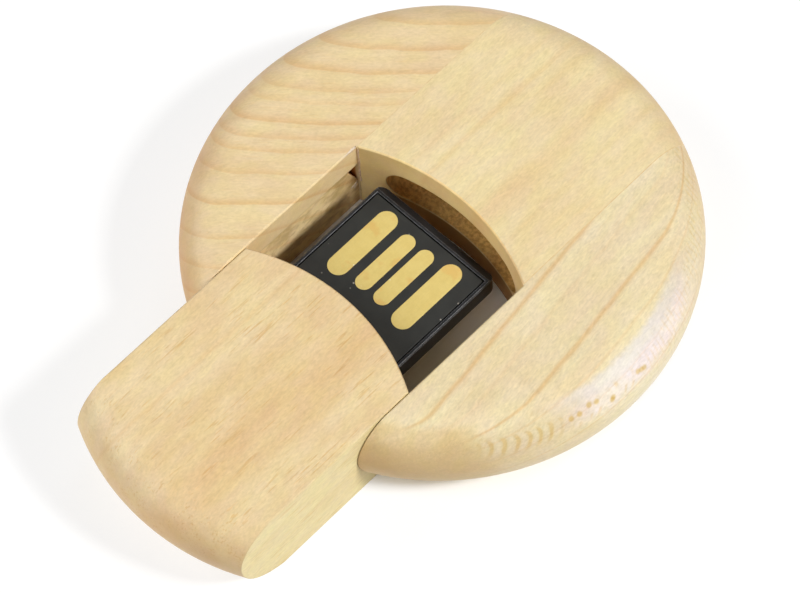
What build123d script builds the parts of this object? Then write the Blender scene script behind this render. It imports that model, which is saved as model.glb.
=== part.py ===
"""Round wooden USB flash drive: a slotted wooden disc and the wooden tongue that carries the USB module."""
from build123d import *
import math
import os

# Frame: +Z up, origin on the underside at the middle of the half-open drive. The slot and the travel run
# along Y: the tongue pulls out towards -Y, and the bare USB connector points towards +Y. Millimetres.

# ---- driving dimensions: the wooden disc ----
disc_radius = 20.7
disc_thickness = 8.6
rim_widest_height = 5.0          # the rounded rim bulges most here
rim_top_radius = 3.6             # quarter round between the top face and the rim
rim_bottom_inset = 4.0           # the flat underside is this much smaller in radius

# ---- driving dimensions: the slot, the tongue and their shared arc ----
slot_half_width = 9.05
slot_corner_y = -0.15            # where the slot's walls meet the end block, from the disc's axis
arc_radius = 19.5                # concave wall of the end block
tongue_arc_radius = 18.6         # convex end of the tongue, sawn a little tighter
tongue_arc_x = -0.3              # its centre is a little to the left
tongue_apex_y = 2.1              # its furthest point, from the axis of the tongue's own rounded nose
slide_out = 12.4                 # how far the tongue is pulled out at rest
side_clearance = 0.08            # each side of the tongue
glue_film = 0.08                 # glue between the end block and each cheek
tongue_arris = 0.1               # sanded edges of the tongue
slot_arris = 0.12                # sanded edges of the slot

# ---- driving dimensions: the pocket that takes the connector ----
pocket_left = -6.95
pocket_right = 7.4
pocket_floor = 2.75
pocket_ceiling = 6.1
pocket_end = 13.0                # depth, as a distance from the disc's axis

# ---- driving dimensions: the eased left wall of the slot and its notch ----
relief_depth = 0.15              # the wall's lower part stands back from the tongue
relief_top = 5.9
relief_length = 11.9
notch_length = 1.1
notch_top = 5.6
notch_bottom = 3.2
notch_depth = 1.6

# ---- driving dimensions: the connector's carrier tray ----
carrier_centre_x = -0.385
carrier_width = 12.4
carrier_height = 2.3
carrier_length = 25.6
carrier_tip_y = 0.1              # nose of the connector, from the disc's axis
carrier_bottom = 3.25
nose_bevel_length = 0.65         # lead-in bevel on top of the nose
nose_bevel_depth = 0.4
side_chamfer = 0.1
nose_corner_radius = 0.7
belly_radius = 0.6               # rounding of the tray's underside
tray_floor = 0.8
seam = 0.14                      # gap between the tray and the module
rim_land = 0.23                  # flat of the tray's rim
cavity_clearance = 0.05
adhesive_thickness = 0.1

# ---- driving dimensions: the flash module ----
module_length = 24.2
substrate_thickness = 0.3
moulding_thickness = 1.1
contact_thickness = 0.08
contact_proud = 0.02
contact_middle = 3.96            # from the module's front edge to the middle of the contacts
outer_contact = (1.83, 7.15)     # width, length
inner_contact = (1.45, 6.17)
outer_contact_x = 3.5
inner_contact_x = 1.0

# ---- driving dimensions: what the moulding holds ----
memory_die_size = (8.2, 9.4, 0.3)
memory_die_back = 3.6            # from the module's back edge to the die
controller_die_size = (3.0, 3.0, 0.2)
controller_die_x = -2.4
controller_die_y = 6.0           # from the module's front edge to the middle of the die
die_film = 0.03
crystal_size = (2.0, 1.6, 0.5)
passive_size = (0.6, 0.3, 0.3)
capacitor_spots = ((4.4, 2.0), (4.4, 3.2), (4.4, 8.4), (-4.6, 2.0), (-4.6, 9.2), (2.6, 9.2))
resistor_spots = ((1.0, 2.0), (-0.6, 2.0), (-2.2, 2.0))
wire_width = 0.03
wire_rise = 0.14
wire_reach = 0.5
memory_wires = 16
controller_wires = 8

# ---- places worked out from the dimensions above ----
disc_y = slide_out / 2           # the disc's axis in the frame of the whole drive
strip_half_width = slot_half_width - glue_film
tongue_half_width = slot_half_width - side_clearance
arc_centre_y = slot_corner_y - math.sqrt(arc_radius ** 2 - slot_half_width ** 2)
carrier_top = carrier_bottom + carrier_height
carrier_tip = disc_y + carrier_tip_y
carrier_back = carrier_tip - carrier_length
module_front = carrier_tip - nose_bevel_length - rim_land - seam
module_back = module_front - module_length
module_width = carrier_width - 2 * (side_chamfer + rim_land + seam)
substrate_bottom = carrier_top - substrate_thickness
moulding_bottom = substrate_bottom - moulding_thickness


def box_between(low, high):
    """An upright block from its lowest corner to its highest."""
    size = [b - a for a, b in zip(low, high)]
    middle = [(a + b) / 2 for a, b in zip(low, high)]
    return Pos(*middle) * Box(*size)


def round_disc():
    """The full disc about its own axis, with the rounded rim."""
    bottom_radius = (rim_bottom_inset ** 2 + rim_widest_height ** 2) / (2 * rim_bottom_inset)
    half_turn = math.asin(rim_widest_height / bottom_radius) / 2
    rim = (disc_radius, rim_widest_height)
    top_start = (disc_radius - rim_top_radius, rim_widest_height + rim_top_radius)
    top_middle = (
        disc_radius - rim_top_radius * (1 - math.cos(math.pi / 4)),
        rim_widest_height + rim_top_radius * math.sin(math.pi / 4),
    )
    bottom_middle = (
        disc_radius - bottom_radius * (1 - math.cos(half_turn)),
        rim_widest_height - bottom_radius * math.sin(half_turn),
    )
    bottom_end = (disc_radius - rim_bottom_inset, 0)
    outline = [
        Line((0, 0), (0, disc_thickness)),
        Line((0, disc_thickness), top_start),
        ThreePointArc(top_start, top_middle, rim),
        ThreePointArc(rim, bottom_middle, bottom_end),
        Line(bottom_end, (0, 0)),
    ]
    section = Plane.XZ * make_face(outline)
    return revolve(section, Axis.Z, 360)


def arc_cutter():
    """The upright cylinder that cuts the end block's concave arc, flared to sand the arc's two edges."""
    straight = Cylinder(arc_radius, 3 * disc_thickness)
    flare = Cone(arc_radius, arc_radius + slot_arris, slot_arris)
    top = Pos(0, 0, (disc_thickness - slot_arris) / 2) * flare
    bottom = Rot(X=180) * top
    return Pos(0, arc_centre_y, disc_thickness / 2) * (straight + top + bottom)


def wall_arris(side):
    """Wedges that sand the top and bottom edges of the slot's wall on one cheek."""
    wedges = []
    wall = side * slot_half_width
    for level, outwards in ((0, -1), (disc_thickness, 1)):
        corners = [
            (wall, level - outwards * slot_arris),
            (wall + side * 2 * slot_arris, level + outwards * slot_arris),
            (wall, level + outwards * slot_arris),
        ]
        face = Plane.XZ * make_face(Polyline(*corners, close=True))
        wedge = extrude(face, 2 * disc_radius, dir=(0, -1, 0))
        wedges.append(Pos(0, slot_corner_y, 0) * wedge)
    return wedges[0] + wedges[1]


def cheek(side):
    """A side strip of the disc: side is -1 on the left and 1 on the right."""
    near = side * slot_half_width
    far = side * 2 * disc_radius
    reach = 2 * disc_radius
    strip = box_between((min(near, far), -reach, -1), (max(near, far), reach, disc_thickness + 1))
    return (round_disc() & strip) - wall_arris(side)


def wall_relief():
    """Shallow step that eases the left wall below its top band, with a torn three-cornered notch."""
    wall = -slot_half_width
    start = slot_corner_y - relief_length
    relief = box_between((wall - relief_depth, start, -1), (wall + 1, slot_corner_y, relief_top))
    corners = [
        (slot_corner_y, notch_top),
        (slot_corner_y - notch_length, notch_top),
        (slot_corner_y, notch_bottom),
    ]
    notch_face = Plane.YZ * make_face(Polyline(*corners, close=True))
    notch = Pos(wall - notch_depth, 0, 0) * extrude(notch_face, notch_depth + 1, dir=(1, 0, 0))
    return relief + notch


def pocket():
    """The round-ended pocket routed into the end block's arc."""
    height = pocket_ceiling - pocket_floor
    width = pocket_right - pocket_left
    middle_x = (pocket_left + pocket_right) / 2
    middle_z = (pocket_ceiling + pocket_floor) / 2
    start = slot_corner_y - 1
    face = SlotOverall(width, height)
    plane = Plane(origin=(middle_x, start, middle_z), x_dir=(1, 0, 0), z_dir=(0, 1, 0))
    return extrude(plane * face, pocket_end - start)


def end_block():
    """The fixed end of the middle strip, with its concave arc and the connector's pocket."""
    reach = 2 * disc_radius
    strip = box_between(
        (-strip_half_width, slot_corner_y - 1, -1),
        (strip_half_width, reach, disc_thickness + 1),
    )
    return (round_disc() & strip) - arc_cutter() - pocket()


def glue_line(side):
    """The film of glue between the end block and one cheek."""
    near = side * strip_half_width
    far = side * slot_half_width
    low = (min(near, far), slot_corner_y, -1)
    high = (max(near, far), 2 * disc_radius, disc_thickness + 1)
    return round_disc() & box_between(low, high)


def sanded_strip():
    """The tongue's straight sides and flat faces, with its long edges sanded."""
    strip = box_between(
        (-tongue_half_width, -2 * disc_radius, 0),
        (tongue_half_width, 2 * disc_radius, disc_thickness),
    )
    return chamfer(strip.edges().filter_by(Axis.Y), tongue_arris)


def sanded_arc_end():
    """The tongue's convex arc end as a full drum, with its edges sanded."""
    drum = Cylinder(tongue_arc_radius, disc_thickness)
    drum = chamfer(drum.edges().filter_by(GeomType.CIRCLE), tongue_arris)
    return Pos(tongue_arc_x, tongue_apex_y - tongue_arc_radius, disc_thickness / 2) * drum


def tongue_block():
    """The sliding wooden tongue: the rest of the middle strip, with a blind cavity for the carrier."""
    body = round_disc() & sanded_strip() & sanded_arc_end()
    body = Pos(0, disc_y - slide_out, 0) * body
    half = carrier_width / 2 + cavity_clearance
    cavity = box_between(
        (carrier_centre_x - half, carrier_back - cavity_clearance, carrier_bottom - adhesive_thickness),
        (carrier_centre_x + half, carrier_tip, carrier_top + cavity_clearance),
    )
    return body - cavity


def carrier():
    """The black tray that the module sits in; its nose is the USB plug's nose."""
    half = carrier_width / 2
    x = carrier_centre_x
    tray = box_between((x - half, carrier_back, carrier_bottom), (x + half, carrier_tip, carrier_top))
    nose_corners = tray.edges().filter_by(Axis.Z).group_by(Axis.Y)[-1]
    tray = fillet(nose_corners, nose_corner_radius)
    tray = fillet(tray.faces().sort_by(Axis.Z)[0].edges(), belly_radius)
    sides = tray.edges().filter_by(Axis.Y).group_by(Axis.Z)
    tray = chamfer(sides[-1], side_chamfer)
    bevel = [
        (carrier_tip - nose_bevel_length, carrier_top),
        (carrier_tip + 1, carrier_top),
        (carrier_tip + 1, carrier_top - nose_bevel_depth),
        (carrier_tip, carrier_top - nose_bevel_depth),
    ]
    wedge_face = Plane.YZ * make_face(Polyline(*bevel, close=True))
    wedge = Pos(x - carrier_width, 0, 0) * extrude(wedge_face, 2 * carrier_width, dir=(1, 0, 0))
    well_half = module_width / 2 + seam
    well = box_between(
        (x - well_half, module_back - seam, carrier_bottom + tray_floor),
        (x + well_half, module_front + seam, carrier_top + 1),
    )
    return tray - wedge - well


def module_block(bottom, top):
    """A slab over the module's whole outline."""
    half = module_width / 2
    x = carrier_centre_x
    return box_between((x - half, module_back, bottom), (x + half, module_front, top))


def contact(offset, size, grow=0.0):
    """One round-ended gold contact; grow only lengthens it upwards for cutting its seat."""
    width, length = size
    face = SlotOverall(length, width, rotation=90)
    low = carrier_top - contact_thickness
    place = Pos(carrier_centre_x + offset, module_front - contact_middle, low)
    return place * extrude(face, contact_thickness + contact_proud + grow)


def memory_die():
    """The flash memory die near the back of the module."""
    width, length, height = memory_die_size
    y = module_back + memory_die_back
    top = substrate_bottom - die_film
    x = carrier_centre_x
    return box_between((x - width / 2, y, top - height), (x + width / 2, y + length, top))


def controller_die():
    """The controller die under the contacts."""
    width, length, height = controller_die_size
    x = carrier_centre_x + controller_die_x
    y = module_front - controller_die_y
    top = substrate_bottom - die_film
    low = (x - width / 2, y - length / 2, top - height)
    return box_between(low, (x + width / 2, y + length / 2, top))


def film_over(die):
    """The adhesive film between a die and the substrate."""
    box = die.bounding_box()
    return box_between((box.min.X, box.min.Y, box.max.Z), (box.max.X, box.max.Y, substrate_bottom))


def crystal():
    """The clock crystal beside the controller."""
    width, length, height = crystal_size
    x = carrier_centre_x + 2.2
    y = module_front - controller_die_y
    low = (x - width / 2, y - length / 2, substrate_bottom - height)
    return box_between(low, (x + width / 2, y + length / 2, substrate_bottom))


def passives(spots):
    """Small chip parts soldered to the underside of the substrate, one per spot."""
    width, length, height = passive_size
    blocks = []
    for across, along in spots:
        x = carrier_centre_x + across
        y = module_front - along
        low = (x - width / 2, y - length / 2, substrate_bottom - height)
        blocks.append(box_between(low, (x + width / 2, y + length / 2, substrate_bottom)))
    return Compound(children=blocks)


def wire_loop(x, y, die_face, towards):
    """A flat bond wire from a die's face, over its edge, up to the substrate; towards is -1 or 1 along Y."""
    lead = 0.25
    low = die_face - wire_rise
    start = y - towards * lead
    end = y + towards * wire_reach
    outer = [
        (start, die_face),
        (start, low),
        (y + towards * lead, low),
        (end + towards * wire_width, substrate_bottom),
        (end, substrate_bottom),
        (y + towards * (lead - wire_width), low + wire_width),
        (start + towards * wire_width, low + wire_width),
        (start + towards * wire_width, die_face),
    ]
    face = Plane.YZ * make_face(Polyline(*outer, close=True))
    return Pos(x - wire_width / 2, 0, 0) * extrude(face, wire_width, dir=(1, 0, 0))


def bond_wires():
    """Rows of bond wires at the dies' edges."""
    wires = []
    memory = memory_die().bounding_box()
    pitch = (memory_die_size[0] - 0.8) / (memory_wires - 1)
    for number in range(memory_wires):
        x = memory.min.X + 0.4 + number * pitch
        wires.append(wire_loop(x, memory.max.Y, memory.min.Z, 1))
    control = controller_die().bounding_box()
    pitch = (controller_die_size[0] - 0.6) / (controller_wires - 1)
    for number in range(controller_wires):
        x = control.min.X + 0.3 + number * pitch
        wires.append(wire_loop(x, control.max.Y, control.min.Z, 1))
        wires.append(wire_loop(x, control.min.Y, control.min.Z, -1))
    return Compound(children=wires)


def adhesive_bed():
    """The bed of adhesive under the carrier inside the tongue."""
    half = carrier_width / 2 - belly_radius - 0.1
    x = carrier_centre_x
    front = disc_y - slide_out - 2
    low = (x - half, carrier_back + belly_radius + 0.1, carrier_bottom - adhesive_thickness)
    return box_between(low, (x + half, front, carrier_bottom))


def module_tape():
    """The tape between the moulding and the tray's floor."""
    half = module_width / 2 - 0.5
    x = carrier_centre_x
    low = (x - half, module_back + 0.5, carrier_bottom + tray_floor)
    return box_between(low, (x + half, module_front - 0.5, moulding_bottom))


def in_place(shape):
    """Move a piece of the disc from the disc's own axis to its place in the whole drive."""
    return Pos(0, disc_y, 0) * shape


def build():
    """Every piece of the drive, by name."""
    contacts = {
        "contact_vbus": (-outer_contact_x, outer_contact),
        "contact_data_minus": (-inner_contact_x, inner_contact),
        "contact_data_plus": (inner_contact_x, inner_contact),
        "contact_ground": (outer_contact_x, outer_contact),
    }
    nodes = {
        "left_cheek": in_place(cheek(-1) - wall_relief()),
        "right_cheek": in_place(cheek(1)),
        "end_block": in_place(end_block()),
        "left_glue_line": in_place(glue_line(-1)),
        "right_glue_line": in_place(glue_line(1)),
        "tongue_block": tongue_block(),
        "connector_tray": carrier(),
        "tray_adhesive": adhesive_bed(),
        "module_tape": module_tape(),
        "memory_die": memory_die(),
        "memory_die_film": film_over(memory_die()),
        "controller_die": controller_die(),
        "controller_die_film": film_over(controller_die()),
        "clock_crystal": crystal(),
        "chip_capacitors": passives(capacitor_spots),
        "chip_resistors": passives(resistor_spots),
        "bond_wires": bond_wires(),
    }
    substrate = module_block(substrate_bottom, carrier_top)
    for name, (offset, size) in contacts.items():
        nodes[name] = contact(offset, size)
        substrate = substrate - contact(offset, size, grow=1)
    nodes["module_substrate"] = substrate
    moulding = module_block(moulding_bottom, substrate_bottom)
    sealed = (
        "memory_die", "memory_die_film", "controller_die", "controller_die_film",
        "clock_crystal", "chip_capacitors", "chip_resistors", "bond_wires",
    )
    for name in sealed:
        for solid in nodes[name].solids():
            moulding = moulding - solid
    nodes["module_moulding"] = moulding
    return nodes


os.makedirs("parts", exist_ok=True)
for node_name, node_shape in build().items():
    export_step(node_shape, "parts/" + node_name + ".step")
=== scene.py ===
"""Looks for the round wooden USB drive: maple grain, the bare-contact plug, the light and the camera."""
import bpy
import math
from mathutils import Matrix, Vector


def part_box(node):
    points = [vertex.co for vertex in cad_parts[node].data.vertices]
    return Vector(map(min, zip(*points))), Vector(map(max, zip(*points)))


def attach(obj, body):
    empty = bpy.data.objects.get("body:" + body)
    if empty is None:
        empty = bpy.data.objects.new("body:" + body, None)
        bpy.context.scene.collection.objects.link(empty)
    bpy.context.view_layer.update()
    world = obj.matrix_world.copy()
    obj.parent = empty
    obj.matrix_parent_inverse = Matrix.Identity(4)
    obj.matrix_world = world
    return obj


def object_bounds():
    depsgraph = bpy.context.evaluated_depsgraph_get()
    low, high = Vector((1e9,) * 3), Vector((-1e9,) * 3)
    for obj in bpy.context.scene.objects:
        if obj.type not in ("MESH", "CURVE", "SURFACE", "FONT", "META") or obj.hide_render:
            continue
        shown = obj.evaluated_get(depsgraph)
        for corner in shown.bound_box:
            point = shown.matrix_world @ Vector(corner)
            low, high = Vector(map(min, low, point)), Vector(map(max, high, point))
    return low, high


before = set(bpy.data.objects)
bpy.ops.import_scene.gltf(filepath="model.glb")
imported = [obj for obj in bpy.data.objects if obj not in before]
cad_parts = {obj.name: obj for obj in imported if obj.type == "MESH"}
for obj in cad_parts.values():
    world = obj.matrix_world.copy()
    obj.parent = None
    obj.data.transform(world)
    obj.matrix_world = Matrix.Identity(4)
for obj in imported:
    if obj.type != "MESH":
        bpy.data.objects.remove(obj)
cad_low, cad_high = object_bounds()

MM = 0.001
disc_radius = cad_high.x / MM
disc_top = cad_high.z / MM
disc_axis_y = cad_high.y / MM - disc_radius
slot_half = -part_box("left_cheek")[1][0] / MM
corner_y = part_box("left_glue_line")[0][1] / MM
arc_radius = 19.5
arc_centre_y = corner_y - math.sqrt(arc_radius ** 2 - slot_half ** 2)


# ---------------------------------------------------------------- shader helpers
class Graph:
    """A material's node tree, with short calls for the nodes used here. Lengths are in millimetres."""

    def __init__(self, name):
        self.material = bpy.data.materials.new(name)
        self.material.use_nodes = True
        self.tree = self.material.node_tree
        self.tree.nodes.clear()
        self.output = self.tree.nodes.new("ShaderNodeOutputMaterial")
        self.shader = self.tree.nodes.new("ShaderNodeBsdfPrincipled")
        self.tree.links.new(self.shader.outputs[0], self.output.inputs[0])
        coordinates = self.tree.nodes.new("ShaderNodeTexCoord")
        self.facing = coordinates.outputs["Normal"]
        self.place = self.scaled(coordinates.outputs["Object"], 1 / MM)
        self.x, self.y, self.z = self.parts(self.place)

    def put(self, socket, value):
        """Link a node's output to a socket, or set the socket to a plain value."""
        if isinstance(value, bpy.types.NodeSocket):
            self.tree.links.new(value, socket)
        else:
            socket.default_value = value

    def math(self, operation, a, b=0.0, clamp=False):
        node = self.tree.nodes.new("ShaderNodeMath")
        node.operation = operation
        node.use_clamp = clamp
        self.put(node.inputs[0], a)
        self.put(node.inputs[1], b)
        return node.outputs[0]

    def total(self, *terms):
        """The sum of (factor, value) pairs."""
        result = 0.0
        for factor, value in terms:
            result = self.math("ADD", result, self.math("MULTIPLY", value, factor))
        return result

    def product(self, *values):
        result = 1.0
        for value in values:
            result = self.math("MULTIPLY", result, value)
        return result

    def parts(self, vector):
        node = self.tree.nodes.new("ShaderNodeSeparateXYZ")
        self.put(node.inputs[0], vector)
        return tuple(node.outputs)

    def vector(self, x, y, z):
        node = self.tree.nodes.new("ShaderNodeCombineXYZ")
        for socket, value in zip(node.inputs, (x, y, z)):
            self.put(socket, value)
        return node.outputs[0]

    def scaled(self, vector, factor):
        """A vector or colour times one number."""
        node = self.tree.nodes.new("ShaderNodeVectorMath")
        node.operation = "SCALE"
        self.put(node.inputs[0], vector)
        self.put(node.inputs["Scale"], factor)
        return node.outputs[0]

    def stretched(self, vector, factors):
        """A vector or colour times a factor along each axis."""
        node = self.tree.nodes.new("ShaderNodeVectorMath")
        node.operation = "MULTIPLY"
        self.put(node.inputs[0], vector)
        self.put(node.inputs[1], factors)
        return node.outputs[0]

    def along(self, vector, direction):
        """How much of a vector points in a fixed direction."""
        node = self.tree.nodes.new("ShaderNodeVectorMath")
        node.operation = "DOT_PRODUCT"
        self.put(node.inputs[0], vector)
        self.put(node.inputs[1], direction)
        return node.outputs["Value"]

    def away(self, point, squeeze=(1.0, 1.0, 1.0)):
        """The distance from a point, measured with each axis multiplied by its squeeze."""
        node = self.tree.nodes.new("ShaderNodeVectorMath")
        node.operation = "DISTANCE"
        self.put(node.inputs[0], self.stretched(self.place, squeeze))
        node.inputs[1].default_value = tuple(p * s for p, s in zip(point, squeeze))
        return node.outputs["Value"]

    def noise(self, vector, detail=2.0, roughness=0.5, distortion=0.0):
        node = self.tree.nodes.new("ShaderNodeTexNoise")
        self.put(node.inputs["Vector"], vector)
        node.inputs["Scale"].default_value = 1.0
        node.inputs["Detail"].default_value = detail
        node.inputs["Roughness"].default_value = roughness
        node.inputs["Distortion"].default_value = distortion
        return node.outputs["Fac"]

    def speckle(self, size, detail=2.0, roughness=0.5):
        """Even noise with lumps of about this size."""
        return self.noise(self.scaled(self.place, 1 / size), detail, roughness)

    def cells(self, vector):
        """Distance to the nearest of the scattered points, and a random shade for each point's cell."""
        node = self.tree.nodes.new("ShaderNodeTexVoronoi")
        self.put(node.inputs["Vector"], vector)
        node.inputs["Scale"].default_value = 1.0
        return node.outputs["Distance"], self.parts(node.outputs["Color"])[0]

    def span(self, value, low, high, to_low=0.0, to_high=1.0, smooth=True):
        """Map low..high to to_low..to_high and hold the ends."""
        node = self.tree.nodes.new("ShaderNodeMapRange")
        node.interpolation_type = "SMOOTHSTEP" if smooth else "LINEAR"
        self.put(node.inputs["Value"], value)
        node.inputs["From Min"].default_value = low
        node.inputs["From Max"].default_value = high
        node.inputs["To Min"].default_value = to_low
        node.inputs["To Max"].default_value = to_high
        return node.outputs["Result"]

    def band(self, value, middle, below, above):
        """1 at middle, falling to 0 at a distance below it and a distance above it."""
        rise = self.span(value, middle - below, middle)
        fall = self.span(value, middle, middle + above, 1.0, 0.0)
        return self.math("MULTIPLY", rise, fall)

    def plateau(self, value, low, high, edge):
        """1 between low and high, falling to 0 over edge outside them."""
        rise = self.span(value, low - edge, low)
        fall = self.span(value, high, high + edge, 1.0, 0.0)
        return self.math("MULTIPLY", rise, fall)

    def mix(self, factor, a, b, mode="MIX"):
        node = self.tree.nodes.new("ShaderNodeMix")
        node.data_type = "RGBA"
        node.blend_type = mode
        self.put(node.inputs["Factor"], factor)
        sockets = [s for s in node.inputs if s.type == "RGBA"]
        self.put(sockets[0], a)
        self.put(sockets[1], b)
        return next(s for s in node.outputs if s.type == "RGBA")

    def shade(self, colour, factor, multiplier):
        """Multiply a colour by multiplier where factor is 1."""
        return self.mix(factor, colour, tuple(multiplier) + (1.0,), "MULTIPLY")

    def rounded(self, radius, crisp=0.80):
        """The surface normal with every edge rounded to a radius, and a mask of those edges."""
        node = self.tree.nodes.new("ShaderNodeBevel")
        node.samples = 4
        node.inputs["Radius"].default_value = radius * MM
        agreement = self.along(node.outputs[0], self.true_normal())
        return node.outputs[0], self.span(agreement, 0.997, crisp)

    def true_normal(self):
        return self.tree.nodes.new("ShaderNodeNewGeometry").outputs["Normal"]

    def bump(self, height, distance, below=None):
        node = self.tree.nodes.new("ShaderNodeBump")
        node.inputs["Strength"].default_value = 1.0
        node.inputs["Distance"].default_value = distance * MM
        self.put(node.inputs["Height"], height)
        if below is not None:
            self.put(node.inputs["Normal"], below)
        return node.outputs[0]

    def finish(self, **values):
        """Set the shader's sockets by name, with _ for a space."""
        for name, value in values.items():
            self.put(self.shader.inputs[name.replace("_", " ")], value)
        return self.material


def linear(red, green, blue):
    """A colour given as it looks on screen, 0 to 255, as the linear value that shaders use."""
    def one(channel):
        c = channel / 255
        return c / 12.92 if c <= 0.04045 else ((c + 0.055) / 1.055) ** 2.4
    return (one(red), one(green), one(blue), 1.0)


IN_PLAN = (1.0, 1.0, 0.0)         # the squeeze that leaves the height out of a distance


def from_disc_axis(g):
    """The distance from the disc's upright axis."""
    return g.away((0.0, disc_axis_y, 0.0), IN_PLAN)


def dress(material, *nodes):
    """Give CAD nodes a material."""
    for node in nodes:
        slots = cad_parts[node].data.materials
        for index in range(len(slots)):
            slots[index] = material


# ---------------------------------------------------------------- camera and light
def make_camera():
    """The camera looks down at the drive from its nose side and right, turned a little about its own axis."""
    azimuth = math.radians(48.753)
    elevation = math.radians(62.004)
    roll = math.radians(5.138)
    distance = 306.0 * MM
    target = Vector((1.07, 0.36, 4.3)) * MM
    back = Vector((
        math.sin(azimuth) * math.cos(elevation),
        -math.cos(azimuth) * math.cos(elevation),
        math.sin(elevation),
    ))
    right = back.cross(Vector((0, 0, -1))).normalized()
    up = back.cross(right)
    rolled_right = right * math.cos(roll) - up * math.sin(roll)
    rolled_up = right * math.sin(roll) + up * math.cos(roll)
    axes = Matrix((rolled_right, rolled_up, back)).transposed().to_4x4()
    camera = bpy.data.objects.new("camera", bpy.data.cameras.new("camera"))
    camera.matrix_world = Matrix.Translation(target + back * distance) @ axes
    camera.data.lens = 176.08
    camera.data.clip_start = 0.01
    bpy.context.scene.collection.objects.link(camera)
    bpy.context.scene.camera = camera


def aim(thing, place, target):
    """Turn a light so that it shines from place towards target, both in metres."""
    back = (Vector(place) - Vector(target)).normalized()
    thing.matrix_world = Matrix.Translation(Vector(place)) @ back.to_track_quat("Z", "Y").to_matrix().to_4x4()


def soft_box(name, azimuth, elevation, reach, size, power, colour=(1.0, 1.0, 1.0)):
    """A rectangular studio light; azimuth 0 is along +X, elevation above the floor, in degrees."""
    light = bpy.data.lights.new(name, "AREA")
    light.shape = "RECTANGLE"
    light.size, light.size_y = size
    light.energy = power
    light.color = colour
    lamp = bpy.data.objects.new(name, light)
    bpy.context.scene.collection.objects.link(lamp)
    turn, lift = math.radians(azimuth), math.radians(elevation)
    place = Vector((math.cos(turn) * math.cos(lift), math.sin(turn) * math.cos(lift), math.sin(lift))) * reach
    aim(lamp, place, (0, 0, 0))
    return lamp


def make_floor():
    """A pale matt table top that glows a little around the drive, so that its shadow stays faint."""
    size = 3.0
    mesh = bpy.data.meshes.new("floor")
    corners = [(-size, -size, 0), (size, -size, 0), (size, size, 0), (-size, size, 0)]
    mesh.from_pydata(corners, [], [(0, 1, 2, 3)])
    floor = bpy.data.objects.new("floor", mesh)
    floor.location.z = -0.02 * MM
    bpy.context.scene.collection.objects.link(floor)
    graph = Graph("pale_table")
    clear = graph.span(from_disc_axis(graph), disc_radius - 2.0, disc_radius)
    tone = graph.total((-0.60, clear), (0.02, graph.speckle(60.0)), (1.0, 0.94))
    graph.finish(Base_Color=graph.vector(tone, tone, tone), Roughness=0.8, Specular_IOR_Level=0.1,
                 Emission_Color=(1, 1, 1, 1), Emission_Strength=graph.math("MULTIPLY", clear, 0.68))
    mesh.materials.append(graph.material)


def make_light():
    """A compact key light from the right, and broader, weaker soft boxes: front left, front and back."""
    world = bpy.data.worlds.new("studio")
    world.use_nodes = True
    background = world.node_tree.nodes["Background"]
    background.inputs["Color"].default_value = (1, 1, 1, 1)
    background.inputs["Strength"].default_value = WORLD_STRENGTH
    bpy.context.scene.world = world
    reach = 0.7
    compact, broad = (0.13, 0.13), (0.35, 0.35)
    soft_box("key", 27, 42, reach, compact, 4.1)
    soft_box("fill", 215, 35, reach, broad, 2.3)
    soft_box("back", 110, 50, reach, broad, 0.45)
    soft_box("front", -78, 38, reach, broad, 1.3)
    bpy.context.scene.view_settings.view_transform = "Standard"
    bpy.context.scene.view_settings.look = "None"


# ---------------------------------------------------------------- wood
WORLD_STRENGTH = 0.10
STUDIO_GAIN = 1.09                # how much brighter than 1 a white card lies under these lights


def seen(red, green, blue):
    """The surface colour that shows as this screen colour, 0 to 255, under the studio light."""
    return tuple(channel / STUDIO_GAIN for channel in linear(red, green, blue)[:3]) + (1.0,)


class Board:
    """One piece of maple: how its grain runs, its colours, and where its growth rings lie."""

    def __init__(self, node, grain, pale, warm, seed, rings=(), crests=(), dashes=0.5, figure=1.0, cut=None):
        self.node = node
        self.grain = math.radians(grain)          # direction of the fibres, from +X towards +Y
        self.pale = pale
        self.warm = warm
        self.seed = seed
        self.rings = rings                        # (place, below, above, depth) along the ring field
        self.crests = crests                      # the same, for the pale zones beside the rings
        self.dashes = dashes                      # how strongly the open pores show
        self.figure = figure                      # how strongly the fine figure shows
        self.cut = cut                            # the way its sawn face in the slot looks, or None


def left_field(g):
    """Rings that cross the left cheek from lower left to upper right and bend over the rim."""
    side = g.math("ADD", g.x, 13.0)
    bow = g.product(side, side, -0.025)
    waver = g.math("SUBTRACT", g.speckle(3.0), 0.5)
    height = g.math("SUBTRACT", g.z, disc_top)
    return g.total((1.0, g.y), (-0.85, side), (1.0, bow), (1.3, height), (0.5, waver))


def right_field(g):
    """Rings that run nearly along the slot on the right cheek and turn down over the rim."""
    slope = g.math("SUBTRACT", g.y, 5.0)
    waver = g.math("SUBTRACT", g.speckle(3.5), 0.5)
    return g.total((1.0, g.x), (0.13, slope), (2.7, g.math("SUBTRACT", disc_top, g.z)), (0.4, waver))


def middle_field(g):
    """Streaks that run straight along the middle strip."""
    waver = g.math("SUBTRACT", g.noise(g.stretched(g.place, (0.5, 0.12, 0.5))), 0.5)
    return g.total((1.0, g.x), (0.5, waver), (0.25, g.math("SUBTRACT", disc_top, g.z)))


FIELDS = {"left_cheek": left_field, "right_cheek": right_field, "end_block": middle_field,
          "tongue_block": middle_field}
RING_COLOUR = (0.915, 0.76, 0.61)                  # what a ring of depth 1 multiplies the wood by
CREST_COLOUR = (1.03, 1.06, 1.09)
RIM_END_GRAIN = (0.77, 0.63, 0.47)
PORE_COLOUR = (0.91, 0.81, 0.68)


def bands(g, field, places, sharpness=1.0):
    """The strongest of several bands; a higher sharpness draws each one's middle as a finer line."""
    result = 0.0
    for place, below, above, depth in places:
        band = g.math("POWER", g.band(field, place, below, above), sharpness)
        result = g.math("MAXIMUM", result, g.math("MULTIPLY", band, depth))
    return result


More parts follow.
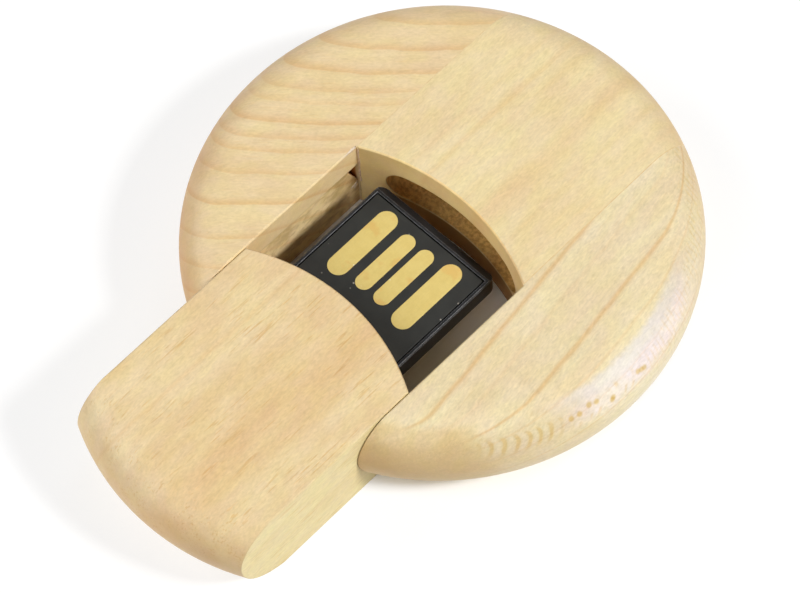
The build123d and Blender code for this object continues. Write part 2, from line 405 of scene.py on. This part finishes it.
def maple(board):
    """Sanded maple with a thin satin finish."""
    g = Graph(board.node + "_maple")
    fibre_way = (math.cos(board.grain), math.sin(board.grain), 0.0)
    along = g.along(g.place, fibre_way)
    across = g.along(g.place, (-fibre_way[1], fibre_way[0], 0.0))
    deep = g.math("ADD", g.z, board.seed)

    def grain_noise(per_across, per_along, detail=2.0, roughness=0.5, distortion=0.0, shift=0.0):
        """Noise with so many lumps to the millimetre across the grain and along it."""
        vector = g.vector(g.math("MULTIPLY", across, per_across), g.total((per_along, along), (1.0, shift)),
                          g.math("MULTIPLY", deep, per_across))
        return g.noise(vector, detail, roughness, distortion)

    blotch = grain_noise(0.35, 0.13, 3.0, 0.55)
    streak = grain_noise(1.7, 0.13, 3.0, 0.6)
    mottle = grain_noise(0.9, 0.45, 1.5, 0.45, 0.0, 11.0)
    lumps = grain_noise(2.8, 1.1, 1.0, 0.5, 0.3, 23.0)
    scales = grain_noise(5.6, 2.3, 1.0, 0.5, 0.5)
    fine = grain_noise(10.0, 5.0, 1.0, 0.5, 0.0, 5.0)
    fibre = grain_noise(8.0, 0.9, 2.0, 0.6, 0.0, 7.0)
    pores = g.product(g.span(grain_noise(6.5, 0.50, 1.0, 0.5, 0.0, 3.0), 0.56, 0.74),
                      g.span(grain_noise(0.8, 0.25, 1.0, 0.5, 0.0, 17.0), 0.40, 0.60))

    colour = g.mix(g.span(blotch, 0.36, 0.66), board.pale, board.warm)
    cast = g.mix(g.span(mottle, 0.28, 0.72), (0.995, 1.005, 0.95, 1), (1.0, 0.992, 1.035, 1))
    colour = g.stretched(colour, cast)
    terms = (0.11, streak), (0.14, lumps), (0.32, scales), (0.10, fine), (0.12, fibre)
    cut_across = g.math("POWER", g.math("ABSOLUTE", g.along(g.facing, fibre_way)), 2.0)
    figure = g.total((1.0, -sum(size for size, _ in terms) / 2), *terms)
    figure = g.product(figure, g.span(cut_across, 0.0, 1.0, board.figure, 0.4 * board.figure))
    colour = g.scaled(colour, g.math("ADD", 1.0, figure))
    field = FIELDS[board.node](g)
    radius = from_disc_axis(g)
    tip = g.product(g.span(radius, 18.0, 18.9), g.span(g.y, -4.5, -7.0), g.span(g.x, 0.0, slot_half))
    rings = bands(g, field, board.rings, 1.6)
    if board.node == "right_cheek":
        rings = g.product(rings, g.math("SUBTRACT", 1.0, tip))
        colour = g.shade(colour, tip, (0.91, 0.84, 0.72))
    colour = g.shade(colour, rings, RING_COLOUR)
    colour = g.shade(colour, bands(g, field, board.crests), CREST_COLOUR)
    pores = g.math("MULTIPLY", pores, board.dashes)
    colour = g.shade(colour, pores, PORE_COLOUR)
    colour = end_grain(g, board, colour, cut_across, radius)
    if board.cut:
        colour = sawn_face(g, board, colour)
    if board.node == "right_cheek":
        colour = rim_figure(g, colour)
    if board.node == "tongue_block":
        # Painted shade: the tongue's face towards +X is darker in red and blue than its top, a tint standing
        # in for how that face is lit.
        colour = g.shade(colour, g.span(g.along(g.facing, (1.0, 0.0, 0.0)), 0.6, 0.9), (0.93, 1.0, 0.92))

    round_normal, edges = g.rounded(0.12)
    at_joint = g.plateau(g.math("ABSOLUTE", g.x), slot_half - 0.3, slot_half + 0.3, 0.1)
    glued = g.product(at_joint, g.span(g.y, corner_y, corner_y + 0.3))
    edges = g.product(edges, g.math("SUBTRACT", 1.0, glued))
    # Lighter arrises: painted highlight along the rounded edges, together with some real wear from rubbing.
    rubbed_and_highlit = g.math("MULTIPLY", edges, g.span(g.speckle(0.35), 0.35, 0.65, 0.3, 1.0))
    colour = g.shade(colour, rubbed_and_highlit, (1.02, 1.05, 1.14))
    normal = g.mix(glued, round_normal, g.true_normal())

    relief = g.total((0.25, lumps), (0.40, scales), (0.20, fine), (0.25, fibre), (-0.50, pores))
    rough = g.total((0.16, fibre), (0.12, scales), (1.0, 0.40))
    return g.finish(Base_Color=colour, Roughness=rough, Normal=g.bump(relief, 0.014, normal),
                    Specular_IOR_Level=0.18, Coat_Weight=0.35, Coat_Roughness=0.42, Coat_Normal=normal)


def end_grain(g, board, colour, cut_across, radius):
    """Darker, browner wood where the fibres run out, a painted highlight along the top of the tongue's nose,
    and the left rim's blush.
    """
    if board.node == "tongue_block":
        tanned = g.span(g.x, 2.5, 6.0)
        nose = g.mix(tanned, (0.90, 0.84, 0.78, 1), (0.76, 0.66, 0.56, 1))
        colour = g.mix(cut_across, colour, g.stretched(colour, nose))
        # Painted highlight: a light band where the tongue's nose turns up to its top.
        brow_highlight = g.product(g.band(g.parts(g.facing)[2], 0.75, 0.45, 0.25), g.span(g.y, -20.0, -22.0))
        brow_highlight = g.product(brow_highlight, g.math("SUBTRACT", 1.0, tanned))
        return g.shade(colour, brow_highlight, (1.04, 1.07, 1.17))
    if board.node == "left_cheek":
        blush = g.product(g.span(radius, 17.4, 19.6), g.span(g.speckle(2.2, 2.0), 0.35, 0.65, 0.4, 1.0))
        colour = g.shade(colour, blush, (1.0, 0.93, 0.91))
    return g.shade(colour, g.math("MULTIPLY", cut_across, g.span(radius, 18.3, 20.3)), RIM_END_GRAIN)


def sawn_face(g, board, colour):
    """The slot's walls: made lighter by painted light, stained lower down and darker towards the end corners,
    with painted shade in the pocket, the notch and under the pocket, and painted light on the arc wall.
    """
    wall = g.span(g.along(g.facing, board.cut), 0.5, 0.7)
    # Painted light: the sawn walls are made lighter than the top, standing in for light reaching into the
    # slot.
    colour = g.shade(colour, wall, (1.10, 1.10, 1.06))
    if board.node == "end_block":
        # Painted light on the arc wall: warmer and brighter at its left end and in its middle.
        lit = g.mix(g.span(g.x, -9.0, 7.0, smooth=False), (1.08, 1.03, 0.88, 1), (1.02, 0.91, 0.79, 1))
        lit = g.stretched(lit, g.mix(g.plateau(g.x, -3.0, 3.0, 5.0), (1, 1, 1, 1), (1.12, 1.12, 1.12, 1)))
        colour = g.mix(wall, colour, g.stretched(colour, lit))
        streaks = g.noise(g.stretched(g.place, (3.2, 3.2, 0.35)), 3.0, 0.6)
        # Painted shade in the pocket: darker, browner streaks, lifted again towards its left end as painted
        # light.
        pocket_shade_and_light = g.mix(g.span(streaks, 0.35, 0.65), (0.70, 0.48, 0.22, 1), (1.02, 0.78, 0.43, 1))
        pocket_shade_and_light = g.stretched(pocket_shade_and_light, g.mix(g.span(g.x, -3.0, -6.0), (1, 1, 1, 1), (1.25, 1.25, 1.25, 1)))
        from_arc_axis = g.away((0.0, arc_centre_y, 0.0), IN_PLAN)
        inside = g.span(from_arc_axis, arc_radius + 0.02, arc_radius + 0.06)
        hollow = g.product(inside, g.plateau(g.x, -7.0, 7.45, 0.05), g.plateau(g.z, 2.73, 6.12, 0.02),
                           g.span(g.y, corner_y + 14.0, corner_y + 13.6))
        colour = g.mix(hollow, colour, g.stretched(colour, pocket_shade_and_light))
        # Painted shadow: the tray's shadow on the arc wall below the pocket.
        tray_shadow = g.product(wall, g.span(g.z, 2.9, 2.5), g.plateau(g.x, -6.6, 7.0, 0.5))
        return g.shade(colour, tray_shadow, (0.46, 0.31, 0.16))
    stains = g.noise(g.stretched(g.place, (0.8, 0.6, 1.1)), 3.0, 0.6, 0.3)
    low = g.product(wall, g.span(g.z, 5.95, 5.75))
    stained = g.mix(g.span(stains, 0.36, 0.62), (0.82, 0.76, 0.63, 1), (1.12, 1.10, 1.06, 1))
    colour = g.mix(low, colour, g.stretched(colour, stained))
    # Darker towards the slot's end corners, above the lowest part of the wall.
    darker_near_corner = g.product(low, g.span(g.y, corner_y - 4.2, corner_y - 1.6), g.span(g.z, 2.6, 3.4))
    colour = g.shade(colour, darker_near_corner, (0.72, 0.68, 0.60))
    # Painted shade: the inside of the notch is made darker and browner.
    torn = g.product(g.plateau(g.y, corner_y - 1.3, corner_y + 0.1, 0.1), g.plateau(g.z, 3.1, 5.7, 0.1),
                     g.plateau(g.x, -slot_half - 3.0, -slot_half - 0.45, 0.2))
    return g.shade(colour, torn, (0.95, 0.64, 0.36))


def rim_figure(g, colour):
    """The curly figure of the right rim: fine crescents and a few gum spots, with a painted highlight as a
    light area above them and painted shade on the faces towards +X.
    """
    radius = from_disc_axis(g)
    # Painted highlight: a light, bluish-white area where the key light's reflection falls on the rim, with a
    # lighter fringe beside it.
    frayed = g.total((1.0, radius), (0.5, g.math("SUBTRACT", g.speckle(0.6, 3.0), 0.5)))
    highlight_patch = g.product(g.plateau(frayed, 18.8, 20.1, 0.6), g.plateau(g.y, 3.0, 13.0, 4.5))
    highlight_patch = g.product(highlight_patch, g.span(g.x, 14.0, 17.0))
    highlight_tint = g.mix(g.span(radius, 19.0, 19.9), (0.90, 0.97, 1.32, 1), (1.03, 1.07, 1.46, 1))
    colour = g.mix(highlight_patch, colour, g.stretched(colour, highlight_tint))
    highlight_fringe = g.product(g.span(radius, 18.8, 19.8), g.plateau(g.y, 8.0, 17.0, 4.0))
    colour = g.shade(colour, highlight_fringe, (1.0, 1.02, 1.10))
    # Painted shade: the rim's faces towards +X are darkened outside the highlight area.
    sides = g.product(g.span(g.along(g.facing, (1.0, 0.0, 0.0)), 0.15, 0.75), g.math("SUBTRACT", 1.0, highlight_patch))
    colour = g.shade(colour, sides, (0.94, 0.96, 0.97))

    middle = g.math("SUBTRACT", radius, 19.7)
    curl = g.total((1.0, g.y), (1.3, g.product(middle, middle)), (0.4, g.speckle(1.3)))
    wave = g.math("SINE", g.math("MULTIPLY", curl, 2 * math.pi / CRESCENT_PITCH))
    patchy = g.math("MAXIMUM", g.span(g.speckle(1.3), 0.42, 0.60), g.span(g.y, 0.5, -1.5))
    where = g.product(g.plateau(radius, 19.75, 20.2, 0.35), g.plateau(g.y, -5.0, 8.0, 1.5), patchy)
    colour = g.shade(colour, g.product(g.span(wave, 0.1, 0.9), where), (0.94, 0.85, 0.66))
    colour = g.shade(colour, g.product(g.span(wave, 0.0, -0.9), where), (1.03, 1.045, 1.13))
    bent = g.total((1.0, g.y), (0.5, g.speckle(0.8)))
    ripple = g.math("SINE", g.math("MULTIPLY", bent, 2 * math.pi / RIPPLE_PITCH))
    where = g.product(g.plateau(radius, 19.5, 20.4, 0.5), g.span(g.y, 7.0, 9.0),
                      g.span(g.speckle(1.1), 0.38, 0.55))
    colour = g.shade(colour, g.product(g.span(ripple, 0.0, 0.9), where), (0.97, 0.93, 0.83))
    for spot in GUM_SPOTS:
        colour = g.shade(colour, g.span(g.away(spot), 0.34, 0.12), (0.87, 0.76, 0.46))
    return colour


CRESCENT_PITCH = 0.85                              # along the rim, in millimetres
RIPPLE_PITCH = 0.48
GUM_SPOTS = [(20.02, 7.15, 7.07), (20.05, 7.50, 6.98), (20.08, 7.80, 6.90),
             (20.13, 4.17, 6.78), (20.12, 4.32, 6.92), (19.55, 3.00, 7.37),
             (19.36, 2.35, 7.46), (19.30, 1.39, 7.26), (19.13, 0.66, 7.26)]


def rings_at(below, above, *pairs):
    """Rings of one width: each pair is a place and a depth from 0 to 1."""
    return [(place, below, above, depth) for place, depth in pairs]


def make_wood():
    """Maple on the four wooden pieces, each cut from its own board."""
    boards = [
        Board("left_cheek", 44, seen(236, 212, 165), seen(230, 203, 156), 3.0,
              rings_at(0.20, 1.20, (-23.6, 0.45), (-19.7, 0.55), (-16.2, 0.5), (-12.6, 0.45), (-8.9, 0.50),
                       (-4.65, 0.70), (-0.95, 0.45), (1.7, 0.50), (3.3, 0.46), (5.15, 0.64), (7.6, 0.28),
                       (9.2, 0.36), (11.5, 0.60), (14.5, 0.60), (17.8, 0.5)),
              rings_at(0.9, 0.35, (-5.2, 0.5), (1.1, 0.5), (4.6, 0.5), (8.6, 0.4), (10.9, 0.6), (13.9, 0.6)),
              dashes=0.3, figure=0.72, cut=(1.0, 0.0, 0.0)),
        Board("right_cheek", 97, seen(234, 217, 177), seen(231, 210, 168), 21.0,
              rings_at(0.42, 0.45, (10.05, 0.85), (15.55, 0.85), (12.4, 0.2), (18.2, 0.35),
                       (22.5, 0.3), (27.0, 0.5)),
              rings_at(0.35, 0.9, (10.65, 0.6), (16.2, 0.5)), dashes=0.3, cut=(-1.0, 0.0, 0.0)),
        Board("end_block", 90, seen(236, 216, 169), seen(232, 208, 160), 40.0,
              rings_at(0.5, 0.5, (-3.2, 0.30), (-4.9, 0.14), (-1.8, 0.12), (5.4, 0.14), (7.9, 0.14))
              + rings_at(1.4, 1.8, (2.5, 0.30)),
              rings_at(0.5, 0.5, (-3.9, 0.3), (-0.5, 0.5), (4.3, 0.4), (6.3, 0.3)), dashes=0.2,
              figure=0.85, cut=(0.0, -1.0, 0.0)),
        Board("tongue_block", 90, seen(235, 211, 164), seen(229, 200, 151), 63.0,
              rings_at(0.4, 0.4, (-4.6, 0.28), (7.3, 0.12)) + rings_at(0.9, 0.9, (0.65, 0.25))
              + rings_at(5.5, 4.5, (2.8, 0.42)),
              rings_at(0.5, 0.5, (-2.5, 0.5), (-3.6, 0.3)) + rings_at(1.6, 1.2, (6.5, 0.3), (-6.8, 0.6)),
              dashes=1.0, figure=0.85),
    ]
    for board in boards:
        dress(maple(board), board.node)


def make_glue():
    """Dried wood glue in the joints: the wood's own colour, a little darker and yellower."""
    g = Graph("wood_glue")
    lumps = g.speckle(0.5, 3.0)
    colour = g.mix(g.span(lumps, 0.35, 0.65), seen(235, 211, 163), seen(226, 197, 147))
    colour = g.shade(colour, g.span(g.x, -1.0, 1.0), (0.99, 0.96, 0.91))
    g.finish(Base_Color=colour, Roughness=g.span(lumps, 0.3, 0.7, 0.25, 0.45), Normal=g.bump(lumps, 0.03),
             Coat_Weight=0.3, Coat_Roughness=0.2)
    dress(g.material, "left_glue_line", "right_glue_line")


# ---------------------------------------------------------------- small things at the slot's torn corner
def tube(path, radii, sides=8):
    """Vertices and faces of a closed tube along a path, with its own radius at each point, in millimetres."""
    points = [Vector(point) for point in path]
    vertices, faces = [], []
    for index, point in enumerate(points):
        ahead = points[min(index + 1, len(points) - 1)] - points[max(index - 1, 0)]
        first = ahead.cross(Vector((0.6, 0.2, 0.3))).normalized()
        second = ahead.cross(first).normalized()
        for side in range(sides):
            turn = 2 * math.pi * side / sides
            vertices.append(point + (first * math.cos(turn) + second * math.sin(turn)) * radii[index])
    for index in range(len(points) - 1):
        for side in range(sides):
            a, b = index * sides + side, index * sides + (side + 1) % sides
            faces.append((a, b, b + sides, a + sides))
    last = (len(points) - 1) * sides
    faces.append(tuple(reversed(range(sides))))
    faces.append(tuple(range(last, last + sides)))
    return vertices, faces


def add_tubes(name, tubes, material):
    """One smooth mesh of several tubes, riding on the disc."""
    vertices, faces = [], []
    for path, radii in tubes:
        more_vertices, more_faces = tube(path, radii)
        faces += [tuple(len(vertices) + corner for corner in face) for face in more_faces]
        vertices += more_vertices
    mesh = bpy.data.meshes.new(name)
    mesh.from_pydata([vertex * MM for vertex in vertices], [], faces)
    mesh.polygons.foreach_set("use_smooth", [True] * len(faces))
    mesh.materials.append(material)
    piece = bpy.data.objects.new(name, mesh)
    bpy.context.scene.collection.objects.link(piece)
    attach(piece, "disc")


def make_corner():
    """The ragged bead of glue and dust in the slot's left corner, and the fibres torn up around the notch."""
    g = Graph("glue_and_dust")
    lumps = g.speckle(0.25, 3.0)
    colour = g.mix(g.span(lumps, 0.35, 0.65), seen(240, 212, 186), seen(216, 184, 150))
    g.finish(Base_Color=colour, Roughness=g.span(lumps, 0.3, 0.7, 0.45, 0.7), Normal=g.bump(lumps, 0.05))
    wall, steps = -slot_half, 27
    heights = [8.35 - 0.2 * step for step in range(steps)]
    path = [(wall + 0.10 + 0.015 * math.sin(2.3 * z), corner_y + 0.08, z) for z in heights]
    radii = [0.09 + 0.015 * math.sin(4.1 * z + 1.0) + 0.01 * math.sin(9.7 * z) for z in heights]
    radii[0] = radii[-1] = 0.03
    add_tubes("corner_squeeze_out", [(path, radii)], g.material)

    g = Graph("torn_fibre")
    strands = g.noise(g.stretched(g.place, (9.0, 1.5, 9.0)), 2.0, 0.6)
    colour = g.mix(g.span(strands, 0.35, 0.65), seen(238, 222, 200), seen(222, 198, 168))
    g.finish(Base_Color=colour, Roughness=g.span(strands, 0.3, 0.7, 0.5, 0.7), Normal=g.bump(strands, 0.04))
    arris = disc_top - 0.10
    fibres = [
        ([(wall - 0.06, 6.00, arris), (wall - 0.07, 5.55, arris), (wall - 0.07, 5.0, arris),
          (wall - 0.06, 4.4, arris)], [0.10, 0.12, 0.07, 0.01]),
        ([(wall - 0.10, 5.98, 8.0), (wall - 0.07, 5.93, 7.6), (wall - 0.09, 5.97, 7.1)], [0.07, 0.06, 0.01]),
        ([(wall - 0.14, 5.20, 2.85), (wall - 0.10, 5.60, 3.00), (wall - 0.12, 6.00, 3.25)],
         [0.06, 0.05, 0.01]),
        ([(wall - 0.14, 5.55, 2.45), (wall - 0.09, 5.75, 2.75), (wall - 0.12, 5.95, 2.95)],
         [0.05, 0.05, 0.01]),
    ]
    add_tubes("torn_fibres", fibres, g.material)


# ---------------------------------------------------------------- the plug and the electronics
def moulded_plastic():
    """Black moulded plastic: fine spark-eroded grain, edges greyed by a painted highlight with some wear, a
    little dust.
    """
    g = Graph("black_plastic")
    grain = g.speckle(0.06, 2.0, 0.6)
    cloud = g.speckle(1.4, 3.0)
    rub = g.noise(g.stretched(g.place, (14.0, 0.9, 14.0)), 2.0, 0.6)
    colour = g.mix(g.span(cloud, 0.35, 0.65), (0.010, 0.010, 0.011, 1), (0.016, 0.016, 0.018, 1))
    colour = g.mix(g.span(rub, 0.66, 0.80, 0.0, 0.5), colour, (0.045, 0.045, 0.048, 1))
    round_normal, edges = g.rounded(0.08, 0.90)
    # Greyed edges: painted highlight along the moulding's edges, with some real wear.
    worn_and_highlit = g.math("MULTIPLY", edges, g.span(g.speckle(0.5), 0.30, 0.60, 0.45, 1.0))
    colour = g.mix(worn_and_highlit, colour, (0.30, 0.305, 0.32, 1))
    distance, shade = g.cells(g.scaled(g.place, 1 / 0.55))
    dust = g.math("MULTIPLY", g.span(distance, 0.10, 0.05), g.span(shade, 0.80, 0.90))
    colour = g.mix(dust, colour, (0.22, 0.21, 0.20, 1))
    rough = g.total((0.25, grain), (0.15, cloud), (1.0, 0.18))
    g.finish(Base_Color=colour, Roughness=rough, Normal=g.bump(grain, 0.006, round_normal),
             Specular_IOR_Level=0.4)
    dress(g.material, "connector_tray")


def solder_mask():
    """The module's matt dark face: an eggshell skin with rare pale specks and hairline scuffs."""
    g = Graph("solder_mask")
    skin = g.speckle(0.05, 2.0, 0.6)
    cloud = g.speckle(1.8, 3.0)
    scuff = g.noise(g.stretched(g.place, (1.2, 16.0, 4.0)), 2.0, 0.6, 0.3)
    colour = g.mix(g.span(cloud, 0.35, 0.65), (0.025, 0.0255, 0.0235, 1), (0.030, 0.0305, 0.0275, 1))
    colour = g.mix(g.span(scuff, 0.68, 0.80, 0.0, 0.35), colour, (0.06, 0.06, 0.058, 1))
    distance, shade = g.cells(g.scaled(g.place, 1 / 0.8))
    specks = g.math("MULTIPLY", g.span(distance, 0.12, 0.05), g.span(shade, 0.45, 0.62))
    colour = g.mix(specks, colour, (0.34, 0.32, 0.28, 1))
    round_normal, edges = g.rounded(0.05)
    colour = g.mix(g.math("MULTIPLY", edges, 0.6), colour, (0.08, 0.08, 0.075, 1))
    rough = g.total((0.15, skin), (0.15, cloud), (1.0, 0.40))
    g.finish(Base_Color=colour, Roughness=rough, Normal=g.bump(skin, 0.006, round_normal),
             Specular_IOR_Level=0.3)
    dress(g.material, "module_substrate")


def contact_gold():
    """Satin gold plating: brushed along the plug by use, with small dull and coppery places."""
    g = Graph("contact_gold")
    brushed = g.noise(g.stretched(g.place, (22.0, 1.1, 8.0)), 2.0, 0.6)
    pitted = g.speckle(0.12, 2.0, 0.6)
    dull = g.speckle(1.1, 3.0, 0.6)
    colour = g.mix(g.span(dull, 0.35, 0.65), linear(236, 212, 131), linear(232, 207, 125))
    copper = g.span(g.speckle(1.7, 2.0), 0.57, 0.70)
    colour = g.mix(g.math("MULTIPLY", copper, 0.8), colour, linear(232, 194, 112))
    colour = g.scaled(colour, g.total((0.10, brushed), (0.10, pitted), (1.0, 0.90)))
    distance, shade = g.cells(g.scaled(g.place, 1 / 0.6))
    specks = g.math("MULTIPLY", g.span(distance, 0.11, 0.05), g.span(shade, 0.82, 0.90))
    colour = g.mix(specks, colour, linear(250, 244, 214))
    round_normal, edges = g.rounded(0.03)
    rough = g.total((0.22, brushed), (0.14, dull), (1.0, 0.28))
    relief = g.total((0.6, brushed), (0.4, pitted))
    g.finish(Base_Color=colour, Roughness=rough, Normal=g.bump(relief, 0.004, round_normal), Metallic=0.35)
    dress(g.material, "contact_vbus", "contact_data_minus", "contact_data_plus", "contact_ground")


def granular(name, dark, pale, grain, depth, rough, nodes, metallic=0.0):
    """A plain engineering surface: two tones in patches, fine grain in tone, gloss and height."""
    g = Graph(name)
    fine = g.speckle(grain, 2.0, 0.6)
    patches = g.speckle(grain * 12, 3.0)
    colour = g.mix(g.span(patches, 0.35, 0.65), dark, pale)
    colour = g.scaled(colour, g.total((0.30, fine), (1.0, 0.85)))
    round_normal, edges = g.rounded(0.04)
    colour = g.shade(colour, edges, (1.25, 1.25, 1.25))
    roughness = g.total((0.20, fine), (0.12, patches), (1.0, rough - 0.16))
    g.finish(Base_Color=colour, Roughness=roughness, Normal=g.bump(fine, depth, round_normal),
             Metallic=metallic)
    dress(g.material, *nodes)


def silicon():
    """A memory or controller die: blue-grey silicon with the fine rows and blocks of its circuits."""
    g = Graph("silicon_die")
    rows = g.span(g.math("SINE", g.math("MULTIPLY", g.y, 2 * math.pi / 0.08)), -0.4, 0.4)
    columns = g.span(g.math("SINE", g.math("MULTIPLY", g.x, 2 * math.pi / 0.45)), 0.85, 0.97)
    blocks = g.span(g.speckle(0.9, 0.0), 0.46, 0.50)
    colour = g.mix(g.math("MULTIPLY", rows, 0.4), (0.16, 0.18, 0.22, 1), (0.24, 0.24, 0.30, 1))
    colour = g.mix(g.math("MULTIPLY", blocks, 0.4), colour, (0.20, 0.30, 0.26, 1))
    colour = g.mix(columns, colour, (0.42, 0.38, 0.32, 1))
    g.finish(Base_Color=colour, Metallic=0.7, Roughness=g.span(rows, 0.0, 1.0, 0.22, 0.34),
             Normal=g.bump(g.total((0.5, rows), (1.0, columns)), 0.002))
    dress(g.material, "memory_die", "controller_die")


def drawn_wire():
    """Gold bonding wire with the faint lines of the die it was drawn through."""
    g = Graph("bond_wire_gold")
    lines = g.noise(g.stretched(g.place, (30.0, 2.0, 30.0)), 2.0)
    colour = g.mix(lines, linear(250, 214, 130), linear(228, 180, 88))
    g.finish(Base_Color=colour, Metallic=1.0, Roughness=g.span(lines, 0.3, 0.7, 0.15, 0.30),
             Normal=g.bump(lines, 0.002))
    dress(g.material, "bond_wires")


def make_electronics():
    """The plug's visible faces and everything sealed inside it."""
    moulded_plastic()
    solder_mask()
    contact_gold()
    silicon()
    drawn_wire()
    granular("moulding_compound", (0.018, 0.018, 0.019, 1), (0.030, 0.030, 0.030, 1), 0.05, 0.010, 0.60,
             ["module_moulding"])
    granular("die_film", (0.30, 0.22, 0.11, 1), (0.38, 0.28, 0.14, 1), 0.04, 0.003, 0.45,
             ["memory_die_film", "controller_die_film"])
    granular("crystal_can", (0.62, 0.60, 0.56, 1), (0.72, 0.70, 0.66, 1), 0.05, 0.003, 0.30,
             ["clock_crystal"], metallic=1.0)
    granular("capacitor_ceramic", (0.42, 0.31, 0.20, 1), (0.50, 0.38, 0.25, 1), 0.03, 0.004, 0.45,
             ["chip_capacitors"])
    granular("resistor_body", (0.022, 0.022, 0.026, 1), (0.035, 0.035, 0.040, 1), 0.03, 0.004, 0.35,
             ["chip_resistors"])
    granular("adhesive_film", (0.55, 0.48, 0.34, 1), (0.66, 0.60, 0.46, 1), 0.10, 0.010, 0.30,
             ["tray_adhesive", "module_tape"])


make_camera()
make_floor()
make_light()
make_wood()
make_glue()
make_corner()
make_electronics()
